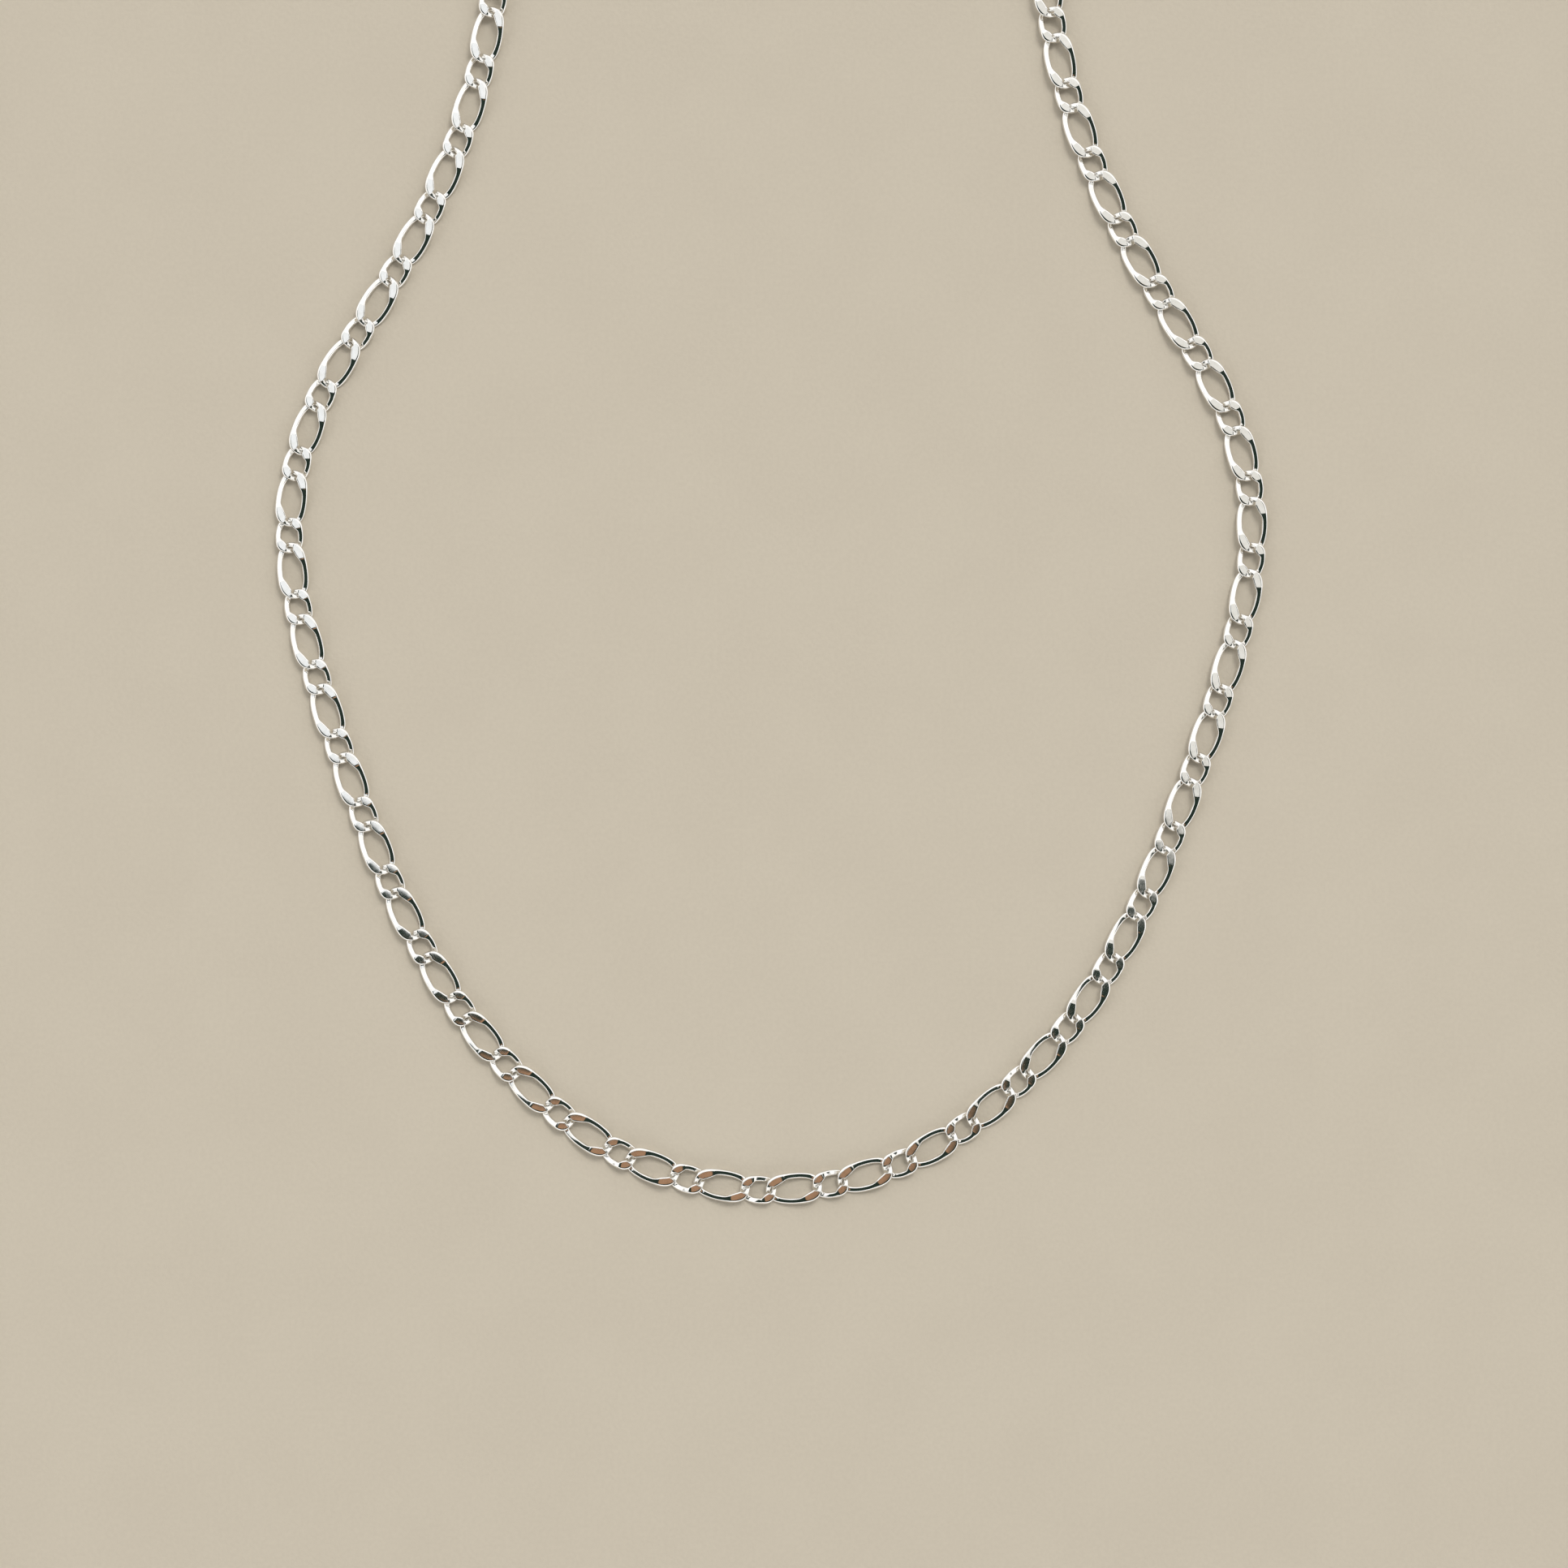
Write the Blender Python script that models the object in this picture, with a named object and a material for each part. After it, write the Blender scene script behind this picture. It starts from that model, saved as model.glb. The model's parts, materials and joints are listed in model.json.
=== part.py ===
"""A figaro chain necklace with a lobster clasp, laid flat with the clasp undone.

Long and round links alternate one to one. Every link is an oval ring of wire with a saddle twist,
filed flat above and below, so that neighbours lie in one plane. The wire runs along X at the
front of the loop, and the two ends go back along +Y. Lengths are in metres, with +Z up.
"""
import math

import bmesh
import bpy
from mathutils import Matrix, Vector

MM = 0.001

# Links
LONG_LENGTH = 9.2 * MM
LONG_WIDTH = 5.1 * MM
ROUND_LENGTH = 5.9 * MM
ROUND_WIDTH = 4.6 * MM
END_WIRE = 0.86 * MM       # across the wire at a link's two ends
SIDE_WIRE = 1.04 * MM      # across the wire at a link's two sides
WIRE_HEIGHT = 0.80 * MM    # up and down, before the wire is filed flat
TWIST = 0.66 * MM          # how far the twist lifts the middle of each quarter
THICKNESS = 1.50 * MM      # over the two filed faces
SQUARENESS = 2.2           # 2 is an ellipse, more has straighter sides
LINK_PLAY = 0.14 * MM      # along the chain, between links that swing
LINK_PRESS = 0.06 * MM     # along the chain, where two links are joined
LEAST_FLAT = 0.5           # of the wire's width, where the file has only just touched it
LONG_STEP = 1.50 * MM      # along the wire, between two of its sections
ROUND_STEP = 1.15 * MM
LONG = (LONG_LENGTH, LONG_WIDTH, LONG_STEP)
ROUND = (ROUND_LENGTH, ROUND_WIDTH, ROUND_STEP)

# Chain
REPEATS_PER_SIDE = 21      # one repeat is a long link and a round link
CLIMBING_LINKS = 4         # at each end, where the chain rises to the ring that it holds
OUTLINE = [(0, 0), (18, 3.2), (33, 11.5), (47.5, 26), (58, 43), (65.5, 61), (72, 80), (76.3, 97),
           (76.6, 112), (72, 127), (63.5, 141), (55, 156), (48.5, 172), (44.5, 189), (43, 206)]

# Rings on the two ends
JUMP_RING_DIAMETER = 4.2 * MM
JUMP_RING_WIRE = 0.70 * MM
END_RING_DIAMETER = 5.0 * MM
END_RING_WIRE = 0.80 * MM
RING_LEAN = math.radians(50)
RING_PLAY = 0.15 * MM
RING_STATIONS = 20
RING_SIDES = 8
JUMP_RING = (JUMP_RING_DIAMETER, JUMP_RING_WIRE)
END_RING = (END_RING_DIAMETER, END_RING_WIRE)

# Clasp
CLASP_THICKNESS = 3.3 * MM
EYE_BORE = 2.6 * MM
EYE_RIM = 0.60 * MM
EYE_THICKNESS = 0.75 * MM
EYE_PLAY = 0.45 * MM       # along the clasp, between the eye and the jump ring
LEVER_THICKNESS = 1.1 * MM
LEVER_PLAY = 0.08 * MM     # between the lever and each cheek of its slot
EYE_BAR = Matrix.Translation((-(EYE_BORE + EYE_RIM) / 2, 0, 0))    # where the jump ring pulls
PIVOT = Vector((4.2, 0.9)) * MM
PIN_DIAMETER = 0.80 * MM
PIN_PLAY = 0.05 * MM       # around the pin
PIN_RECESS = 0.06 * MM     # each end of the pin lies below the cheek
SPRING_THICKNESS = 0.18 * MM
SPRING_WIDTH = 0.90 * MM
EDGE_ROUND = 0.45 * MM
LEVER_EDGE_ROUND = 0.15 * MM
EYE_SIDES = 20
BORE_SIDES = 16
OUTLINE_STEPS = 2          # along a smooth outline, between two of its points

CLAW = [(1.5, -1.0), (3.2, -2.0), (5.5, -2.9), (8.0, -3.2), (10.3, -2.5), (11.8, -0.9), (12.1, 0.9),
        (11.4, 2.5), (10.2, 3.4), (9.2, 3.4), (8.9, 2.9), (9.5, 2.5), (10.4, 2.0), (10.8, 1.0),
        (10.5, -0.6), (9.3, -1.7), (7.9, -2.0), (6.7, -1.5), (6.1, -0.5), (6.0, 0.8), (5.4, 1.9),
        (4.4, 2.35), (3.2, 2.0), (2.3, 1.3), (1.5, 1.0)]
LEVER = [(3.2, 0.3), (4.2, -0.2), (5.2, 0.3), (6.6, 0.75), (8.2, 1.1), (9.4, 1.3), (9.9, 1.8),
         (9.4, 2.3), (8.2, 2.25), (6.8, 2.15), (5.4, 2.1), (4.6, 2.7), (3.9, 3.5), (3.1, 3.3),
         (3.3, 2.3), (3.05, 1.2)]
SLOT = [(2.6, -0.95), (6.8, -0.95), (6.8, 4.2), (2.6, 4.2)]
SPRING_LINE = [(2.9, -0.70), (3.9, -0.76), (4.9, -0.66), (5.8, -0.42)]

SHARP_ANGLE = math.radians(35)
HALVINGS = 40              # of the range in which the next joint is looked for


def clear_scene():
    for obj in list(bpy.data.objects):
        bpy.data.objects.remove(obj, do_unlink=True)


def metal(name, colour, roughness):
    material = bpy.data.materials.new(name)
    material.use_nodes = True
    shader = material.node_tree.nodes["Principled BSDF"]
    shader.inputs["Base Color"].default_value = (*colour, 1.0)
    shader.inputs["Metallic"].default_value = 1.0
    shader.inputs["Roughness"].default_value = roughness
    return material


def add_object(name, mesh, material, matrix=None):
    obj = bpy.data.objects.new(name, mesh)
    bpy.context.scene.collection.objects.link(obj)
    mesh.materials.clear()
    mesh.materials.append(material)
    if matrix is not None:
        obj.matrix_world = matrix
    return obj


def mesh_from(name, bm, transform=None):
    if transform is not None:
        bm.transform(transform)
    bmesh.ops.recalc_face_normals(bm, faces=bm.faces)
    mesh = bpy.data.meshes.new(name)
    bm.to_mesh(mesh)
    bm.free()
    mesh.shade_smooth()
    mesh.set_sharp_from_angle(angle=SHARP_ANGLE)
    return mesh


def bridge_sections(bm, sections):
    """Skins a closed run of sections, each a loop of points."""
    loops = []
    for section in sections:
        verts = [bm.verts.new(point) for point in section]
        loops.append([bm.edges.new((a, b)) for a, b in zip(verts, verts[1:] + verts[:1])])
    for here, following in zip(loops, loops[1:] + loops[:1]):
        bmesh.ops.bridge_loops(bm, edges=here + following)


def wire_section(centre, outward, half_width, half_height, flat):
    """Six points around the wire: the middles of its two sides and the edges of its flats."""
    top = min(centre.z + half_height, flat)
    bottom = max(centre.z - half_height, -flat)

    def flat_half(height):
        off_middle = (height - centre.z) / half_height
        return half_width * math.sqrt(max(1 - off_middle ** 2, LEAST_FLAT ** 2))

    corners = [(-flat_half(top), top), (-half_width, centre.z), (-flat_half(bottom), bottom),
               (flat_half(bottom), bottom), (half_width, centre.z), (flat_half(top), top)]
    return [Vector((centre.x, centre.y, height)) + outward * across for across, height in corners]


def link_bmesh(length, width, step):
    """One link, centred at the origin, with its length along X."""
    half_length = (length - END_WIRE) / 2
    half_width = (width - SIDE_WIRE) / 2
    power = 2 / SQUARENESS
    around = 2 * math.pi * math.hypot(half_length, half_width) / math.sqrt(2)
    stations = 2 * round(around / step / 2)
    sections = []
    for i in range(stations):
        turn = 2 * math.pi * i / stations
        c, s = math.cos(turn), math.sin(turn)
        x = half_length * math.copysign(abs(c) ** power, c)
        y = half_width * math.copysign(abs(s) ** power, s)
        centre = Vector((x, y, -TWIST * math.sin(2 * turn)))
        outward = Vector((half_width * c, half_length * s, 0)).normalized()
        wire = END_WIRE + (SIDE_WIRE - END_WIRE) * s * s
        sections.append(wire_section(centre, outward, wire / 2, WIRE_HEIGHT / 2, THICKNESS / 2))
    bm = bmesh.new()
    bridge_sections(bm, sections)
    return bm


def combined(name, operation, first, second):
    """Two meshes joined, or the second cut from the first, as one new mesh."""
    base = bpy.data.objects.new("boolean_base", first)
    tool = bpy.data.objects.new("boolean_tool", second)
    for obj in (base, tool):
        bpy.context.scene.collection.objects.link(obj)
    boolean = base.modifiers.new("boolean", "BOOLEAN")
    boolean.operation = operation
    boolean.solver = "EXACT"
    boolean.object = tool
    graph = bpy.context.evaluated_depsgraph_get()
    mesh = bpy.data.meshes.new_from_object(base.evaluated_get(graph))
    mesh.name = name
    for obj in (base, tool):
        bpy.data.objects.remove(obj, do_unlink=True)
    return mesh


def catmull_rom(before, start, end, after, t):
    """A point on the smooth curve from start to end, where t goes from 0 to 1."""
    return 0.5 * (2 * start + (end - before) * t + (2 * before - 5 * start + 4 * end - after) * t ** 2
                  + (3 * start - before - 3 * end + after) * t ** 3)


def outline_point(points, position):
    """A point on one side of the loop, where position counts whole points.

    The curve leaves the front squarely, and goes straight on past its last point.
    """
    last = len(points) - 1
    if position >= last:
        return points[last] + (points[last] - points[last - 1]) * (position - last)
    i = int(position)
    before = points[i - 1] if i > 0 else Vector((-points[1].x, points[1].y))
    after = points[min(i + 2, last)]
    return catmull_rom(before, points[i], points[i + 1], after, position - i)


def walk(points, steps):
    """Points along one side of the loop, each a straight step from the one before."""
    position, here = 0, points[0]
    found = [here]
    for step in steps:
        low, high = position, position + 2
        for _ in range(HALVINGS):
            middle = (low + high) / 2
            if (outline_point(points, middle) - here).length < step:
                low = middle
            else:
                high = middle
        position = (low + high) / 2
        here = outline_point(points, position)
        found.append(here)
    return found


def frame_along(origin, direction):
    """A frame at origin with X along direction and Y level, to the left of it."""
    along = direction.normalized()
    left = Vector((0, 0, 1)).cross(along).normalized()
    rows = Matrix((along, left, along.cross(left))).transposed()
    return Matrix.Translation(origin) @ rows.to_4x4()


def ring_height(diameter, wire):
    """Height of the middle of a leaning ring that touches the surface."""
    return (diameter - wire) / 2 * math.sin(RING_LEAN) + wire / 2


def side_links(side):
    """The links on one side of the front, from the front outwards.

    Gives each link's kind and the frame of its middle, and the joints between links, one more
    than the links. The last links climb ever more steeply, to the middle of the leaning ring
    that they hold.
    """
    swings = END_WIRE + LINK_PLAY
    joined = END_WIRE - LINK_PRESS
    kinds = [LONG, ROUND] if side > 0 else [ROUND, LONG]
    kinds = kinds * REPEATS_PER_SIDE
    spans = [length - END_WIRE - (swings + joined) / 2 for length, width, step in kinds]
    outline = [Vector((side * x, y)) * MM for x, y in OUTLINE]
    flat_joints = walk(outline, spans)

    climb = ring_height(*(JUMP_RING if side > 0 else END_RING)) - THICKNESS / 2
    first = len(kinds) - CLIMBING_LINKS
    joints = []
    for i, flat in enumerate(flat_joints):
        share = max(i - first, 0) / CLIMBING_LINKS
        joints.append(Vector((*flat, THICKNESS / 2 + climb * share ** 2)))

    frames = []
    for i, (inner, outer) in enumerate(zip(joints, joints[1:])):
        length = kinds[i][0]
        past_inner = swings / 2 if i % 2 == 0 else joined / 2
        frame = frame_along(inner, outer - inner)
        frames.append(frame @ Matrix.Translation(((length - END_WIRE) / 2 - past_inner, 0, 0)))
    return kinds, frames, joints


def add_repeats(side, label, material):
    """One object for each repeat of a long link and a round link, its origin on its inner joint.

    Gives the last link's frame and length.
    """
    kinds, frames, joints = side_links(side)
    for repeat in range(REPEATS_PER_SIDE):
        first = 2 * repeat
        pivot = frame_along(joints[first], frames[first].to_3x3().col[0])
        pair = []
        for i in (first, first + 1):
            pair.append(mesh_from("link", link_bmesh(*kinds[i]), pivot.inverted() @ frames[i]))
        name = f"{label}_{repeat + 1:02d}"
        add_object(name, combined(name, "UNION", *pair), material, pivot)
    return frames[-1], kinds[-1][0]


def ring_bmesh(diameter, wire):
    """A plain round ring of round wire, flat at the origin."""
    middle = (diameter - wire) / 2
    around = [2 * math.pi * (k + 0.5) / RING_SIDES for k in range(RING_SIDES)]
    profile = [(middle + wire / 2 * math.cos(a), wire / 2 * math.sin(a)) for a in around]
    sections = []
    for i in range(RING_STATIONS):
        turn = 2 * math.pi * i / RING_STATIONS
        sections.append([(math.cos(turn) * out, math.sin(turn) * out, up) for out, up in profile])
    bm = bmesh.new()
    bridge_sections(bm, sections)
    return bm


def ring_frame(last_link, length, diameter, wire):
    """Where a leaning ring hangs on the outer end of the last link."""
    middle = (diameter - wire) / 2
    reach = END_WIRE / 2 + wire / 2 + RING_PLAY
    link_end = last_link @ Vector(((length - END_WIRE) / 2, 0, 0))
    along = last_link.to_3x3().col[0]
    along.z = 0
    along.normalize()
    centre = link_end + along * (middle - reach)
    centre.z = ring_height(diameter, wire)
    pivot = link_end - along * (reach / 2)
    return frame_along(centre, along), pivot


def add_ring(name, last_link, length, diameter, wire, material):
    level, pivot = ring_frame(last_link, length, diameter, wire)
    leaning = level @ Matrix.Rotation(RING_LEAN, 4, "X")
    origin = Matrix.Translation(pivot) @ level.to_3x3().to_4x4()
    mesh = mesh_from(name, ring_bmesh(diameter, wire), origin.inverted() @ leaning)
    add_object(name, mesh, material, origin)
    return level


def clasp_frame(ring_level):
    """The clasp's frame: its origin is the middle of the eye, on the clasp's mid-plane."""
    ring_middle = (JUMP_RING_DIAMETER - JUMP_RING_WIRE) / 2
    reach = EYE_RIM / 2 + JUMP_RING_WIRE / 2 + EYE_PLAY
    frame = ring_level @ Matrix.Translation((ring_middle - reach, 0, 0)) @ EYE_BAR.inverted()
    frame.translation.z = CLASP_THICKNESS / 2
    return frame


def smooth_loop(points):
    """A closed smooth curve through the points."""
    count = len(points)
    loop = []
    for i in range(count):
        around = [Vector(points[(i + k) % count]) * MM for k in (-1, 0, 1, 2)]
        loop += [catmull_rom(*around, step / OUTLINE_STEPS) for step in range(OUTLINE_STEPS)]
    return loop


def plate_bmesh(outline, thickness, edge_round=0.0):
    """A flat plate with the given outline, on both sides of the XY plane."""
    bm = bmesh.new()
    face = bm.faces.new([bm.verts.new((point[0], point[1], -thickness / 2)) for point in outline])
    raised = bmesh.ops.extrude_face_region(bm, geom=[face])["geom"]
    upper = [item for item in raised if isinstance(item, bmesh.types.BMVert)]
    bmesh.ops.translate(bm, vec=(0, 0, thickness), verts=upper)
    if edge_round:
        rims = [edge for edge in bm.edges if edge.verts[0].co.z * edge.verts[1].co.z > 0]
        bmesh.ops.bevel(bm, geom=rims, offset=edge_round, segments=1, affect="EDGES",
                        clamp_overlap=True)
    return bm


def disc_outline(radius, sides, centre=Vector((0, 0))):
    turns = [2 * math.pi * i / sides for i in range(sides)]
    return [centre + Vector((math.cos(turn), math.sin(turn))) * radius for turn in turns]


def claw_mesh():
    """The clasp's body: claw and eye in one, with the lever's slot and the pin's hole."""
    body = mesh_from("claw", plate_bmesh(smooth_loop(CLAW), CLASP_THICKNESS, EDGE_ROUND))
    eye_outline = disc_outline(EYE_BORE / 2 + EYE_RIM, EYE_SIDES)
    body = combined("claw", "UNION", body, mesh_from("eye", plate_bmesh(eye_outline, EYE_THICKNESS)))
    slot = [Vector(point) * MM for point in SLOT]
    through = 2 * CLASP_THICKNESS
    cutters = [plate_bmesh(disc_outline(EYE_BORE / 2, BORE_SIDES), through),
               plate_bmesh(slot, LEVER_THICKNESS + 2 * LEVER_PLAY),
               plate_bmesh(disc_outline(PIN_DIAMETER / 2 + PIN_PLAY, BORE_SIDES, PIVOT), through)]
    for cutter in cutters:
        body = combined("claw", "DIFFERENCE", body, mesh_from("cutter", cutter))
    return body


def lever_mesh():
    """The sprung lever that closes the claw, with its thumb tab and the hole for its pin."""
    plate = plate_bmesh(smooth_loop(LEVER), LEVER_THICKNESS, LEVER_EDGE_ROUND)
    hole_outline = disc_outline(PIN_DIAMETER / 2 + PIN_PLAY, BORE_SIDES, PIVOT)
    hole = plate_bmesh(hole_outline, 2 * LEVER_THICKNESS)
    return combined("lever", "DIFFERENCE", mesh_from("lever", plate), mesh_from("cutter", hole))


def pin_bmesh():
    """The pin through both cheeks of the slot, which the lever turns on."""
    outline = disc_outline(PIN_DIAMETER / 2, BORE_SIDES, PIVOT)
    return plate_bmesh(outline, CLASP_THICKNESS - 2 * PIN_RECESS)


def spring_bmesh():
    """The bent leaf under the lever, which pushes it shut."""
    line = [Vector(point) * MM for point in SPRING_LINE]
    above, below = [], []
    for i, point in enumerate(line):
        along = line[min(i + 1, len(line) - 1)] - line[max(i - 1, 0)]
        across = Vector((-along.y, along.x)).normalized() * SPRING_THICKNESS / 2
        above.append(point + across)
        below.append(point - across)
    return plate_bmesh(below + above[::-1], SPRING_WIDTH)


def add_clasp(eye_frame, claw_silver, lever_silver, pin_steel, spring_steel):
    """The clasp's four pieces. The claw's origin is on the eye's bar, and the others' on the pin."""
    mesh = claw_mesh()
    mesh.transform(EYE_BAR.inverted())
    claw = add_object("clasp_body", mesh, claw_silver, eye_frame @ EYE_BAR)
    pivot = Matrix.Translation((*PIVOT, 0))
    pieces = [("clasp_lever", lever_mesh(), lever_silver),
              ("clasp_pin", mesh_from("pin", pin_bmesh()), pin_steel),
              ("clasp_spring", mesh_from("spring", spring_bmesh()), spring_steel)]
    for name, mesh, material in pieces:
        mesh.transform(pivot.inverted())
        piece = add_object(name, mesh, material)
        piece.parent = claw
        piece.matrix_local = EYE_BAR.inverted() @ pivot


def centre_on_origin():
    """Moves the whole necklace so that the middle of its box's underside is at the origin."""
    bpy.context.view_layer.update()
    pieces = [obj for obj in bpy.data.objects if obj.type == "MESH"]
    corners = [obj.matrix_world @ vert.co for obj in pieces for vert in obj.data.vertices]
    lowest = Vector([min(corner[axis] for corner in corners) for axis in range(3)])
    highest = Vector([max(corner[axis] for corner in corners) for axis in range(3)])
    middle = (lowest + highest) / 2
    for piece in pieces:
        if piece.parent is None:
            piece.location -= Vector((middle.x, middle.y, lowest.z))


def main():
    clear_scene()
    link_silver = metal("link_silver", (0.90, 0.89, 0.87), 0.12)
    ring_silver = metal("ring_silver", (0.88, 0.87, 0.85), 0.16)
    claw_silver = metal("claw_silver", (0.86, 0.85, 0.83), 0.18)
    lever_silver = metal("lever_silver", (0.84, 0.83, 0.81), 0.20)
    pin_steel = metal("pin_steel", (0.66, 0.66, 0.67), 0.25)
    spring_steel = metal("spring_steel", (0.58, 0.58, 0.60), 0.35)

    left_end = add_repeats(-1, "links_left", link_silver)
    right_end = add_repeats(1, "links_right", link_silver)
    add_ring("end_ring", *left_end, *END_RING, ring_silver)
    jump_level = add_ring("jump_ring", *right_end, *JUMP_RING, ring_silver)
    add_clasp(clasp_frame(jump_level), claw_silver, lever_silver, pin_steel, spring_steel)
    centre_on_origin()


main()
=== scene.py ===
"""The looks of a figaro chain necklace of polished silver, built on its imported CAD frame.

Every link is a piece of its own. It keeps the outline, twist and thickness of its CAD solid, and
adds the swollen, filed tips and the rounded rims of a struck curb link. Lengths are in metres.
"""
import json
import math

import bmesh
import bpy
from mathutils import Matrix, Vector


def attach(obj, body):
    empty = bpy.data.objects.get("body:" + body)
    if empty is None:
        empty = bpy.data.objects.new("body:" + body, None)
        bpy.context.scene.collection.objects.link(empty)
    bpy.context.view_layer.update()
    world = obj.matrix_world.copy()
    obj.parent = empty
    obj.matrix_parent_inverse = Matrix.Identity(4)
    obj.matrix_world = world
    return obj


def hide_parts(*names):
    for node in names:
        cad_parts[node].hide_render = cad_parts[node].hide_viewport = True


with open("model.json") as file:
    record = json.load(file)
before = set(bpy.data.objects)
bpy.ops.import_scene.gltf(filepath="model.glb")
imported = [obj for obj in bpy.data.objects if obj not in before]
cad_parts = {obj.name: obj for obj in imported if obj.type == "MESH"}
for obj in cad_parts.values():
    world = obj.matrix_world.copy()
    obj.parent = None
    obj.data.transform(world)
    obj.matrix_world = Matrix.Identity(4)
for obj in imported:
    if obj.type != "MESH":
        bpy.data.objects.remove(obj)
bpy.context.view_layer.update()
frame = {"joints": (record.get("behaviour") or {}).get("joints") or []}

MM = 0.001

# Links, as in the CAD model
LONG_LENGTH = 9.2 * MM
LONG_WIDTH = 5.1 * MM
ROUND_LENGTH = 5.9 * MM
ROUND_WIDTH = 4.6 * MM
END_WIRE = 0.86 * MM
SIDE_WIRE = 1.04 * MM
WIRE_HEIGHT = 0.80 * MM
TWIST = 0.66 * MM
THICKNESS = 1.50 * MM
SQUARENESS = 2.2
LINK_PLAY = 0.14 * MM
LINK_PRESS = 0.06 * MM
REPEATS_PER_SIDE = 21
CLIMBING_LINKS = 4
HALVINGS = 40                  # of the stretch in which the next joint is looked for
OUTLINE = [(0, 0), (18, 3.2), (33, 11.5), (47.5, 26), (58, 43), (65.5, 61), (72, 80), (76.3, 97),
           (76.6, 112), (72, 127), (63.5, 141), (55, 156), (48.5, 172), (44.5, 189), (43, 206)]

# Links, the finish that the CAD model leaves out
TIP_SWELL_IN = 0.58 * MM       # how far a filed tip spreads into the link's opening
TIP_SWELL_OUT = 0.14 * MM      # and out of it
SWELL_START = math.radians(20)  # from a link's end, around its wire
SWELL_FULL = math.radians(32)
SWELL_FADES = math.radians(50)
SWELL_GONE = math.radians(94)
LOW_TIP_SHARE = 0.15           # of that swelling, at a tip that passes under its neighbour
UNDERCUT_BOTTOM = 0.42 * MM    # below this height a tip isn't swollen into the opening, which leaves
UNDERCUT_TOP = 0.71 * MM       # its neighbour room to fold, and above this one it is fully so
FACET_SHARE = 0.58             # of the wire's width, where the facet is widest
SIDE_SHARE = 0.43              # of the wire's width, where the filed face runs on along the side
SIDE_EVENNESS = 0.93           # 0 climbs along a side as a sine wave does, and 1 evenly
FILE_BLEND = 0.07 * MM         # over which a filed face runs out into the round wire
FACET_DOME = 0.004 * MM        # the polishing wheel leaves each facet slightly crowned
FACET_POINTS = (-1, -0.9, -0.5, 0, 0.5, 0.9, 1)
LINK_STATIONS = 88
ARC_STEPS = 5

# Rings on the two ends, as in the CAD model
JUMP_RING_DIAMETER = 4.2 * MM
JUMP_RING_WIRE = 0.70 * MM
END_RING_DIAMETER = 5.0 * MM
END_RING_WIRE = 0.80 * MM
RING_LEAN = math.radians(50)
RING_PLAY = 0.15 * MM

# Rings, finish
RING_STATIONS = 96
RING_SIDES = 24
SPLIT = 0.07 * MM              # between the jump ring's two cut ends
SPLIT_ROUND = 0.05 * MM
SPLIT_BEND = 0.3               # of that rounding, where its slope changes
SEAM_SWELL = 0.05              # of the end ring's wire, where it is soldered
SEAM_LENGTH = 0.45 * MM

# Clasp, as in the CAD model
CLASP_THICKNESS = 3.3 * MM
EYE_BORE = 2.6 * MM
EYE_RIM = 0.60 * MM
EYE_THICKNESS = 0.75 * MM
EYE_PLAY = 0.45 * MM
LEVER_THICKNESS = 1.1 * MM
LEVER_PLAY = 0.08 * MM
PIVOT = Vector((4.2, 0.9)) * MM
PIN_DIAMETER = 0.80 * MM
PIN_PLAY = 0.05 * MM
PIN_RECESS = 0.06 * MM
SPRING_THICKNESS = 0.18 * MM
SPRING_WIDTH = 0.90 * MM
EDGE_ROUND = 0.45 * MM
LEVER_EDGE_ROUND = 0.15 * MM
CLAW = [(1.5, -1.0), (3.2, -2.0), (5.5, -2.9), (8.0, -3.2), (10.3, -2.5), (11.8, -0.9), (12.1, 0.9),
        (11.4, 2.5), (10.2, 3.4), (9.2, 3.4), (8.9, 2.9), (9.5, 2.5), (10.4, 2.0), (10.8, 1.0),
        (10.5, -0.6), (9.3, -1.7), (7.9, -2.0), (6.7, -1.5), (6.1, -0.5), (6.0, 0.8), (5.4, 1.9),
        (4.4, 2.35), (3.2, 2.0), (2.3, 1.3), (1.5, 1.0)]
LEVER = [(3.2, 0.3), (4.2, -0.2), (5.2, 0.3), (6.6, 0.75), (8.2, 1.1), (9.4, 1.3), (9.9, 1.8),
         (9.4, 2.3), (8.2, 2.25), (6.8, 2.15), (5.4, 2.1), (4.6, 2.7), (3.9, 3.5), (3.1, 3.3),
         (3.3, 2.3), (3.05, 1.2)]
SLOT = [(2.6, -0.95), (6.8, -0.95), (6.8, 4.2), (2.6, 4.2)]
SPRING_LINE = [(2.9, -0.70), (3.9, -0.76), (4.9, -0.66), (5.8, -0.42)]

# Clasp, finish
CROWN_MIDDLE = Vector((5.5, 0.0)) * MM
CROWN_REACH = (7.5 * MM, 4.2 * MM)
CROWN = 0.24                   # how much thinner the casting is at its edges than at its middle
NECK_START = 1.4 * MM          # along the clasp, where the eye's ring runs into the body
NECK_END = 3.2 * MM
CAST_VOXEL = 0.13              # in millimetres
CAST_SMOOTHING = 6
OUTLINE_STEPS = 7
BORE_SIDES = 40
GRIP_GROOVES = 4               # filed across the lever's thumb tab
GRIP_RADIUS = 0.09 * MM
GRIP_START = 12.30             # along the lever's outline, in whole points
GRIP_STEP = 0.22
PIN_DOME = 0.05 * MM
PIN_PROFILE = [(0.35, 0), (0.7, 0.25), (0.9, 0.6), (1, 1)]    # shares of the radius and of the dome
SPRING_EDGE_ROUND = 0.03 * MM
SPRING_STEPS = 6
SHARP_ANGLE = math.radians(35)

# View
FRAME_WIDTH = 0.251            # of floor across the picture
AIM = Vector((0.002, -0.0416, 0.0))
CAMERA_HEIGHT = 0.52
SENSOR = 0.036

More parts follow.
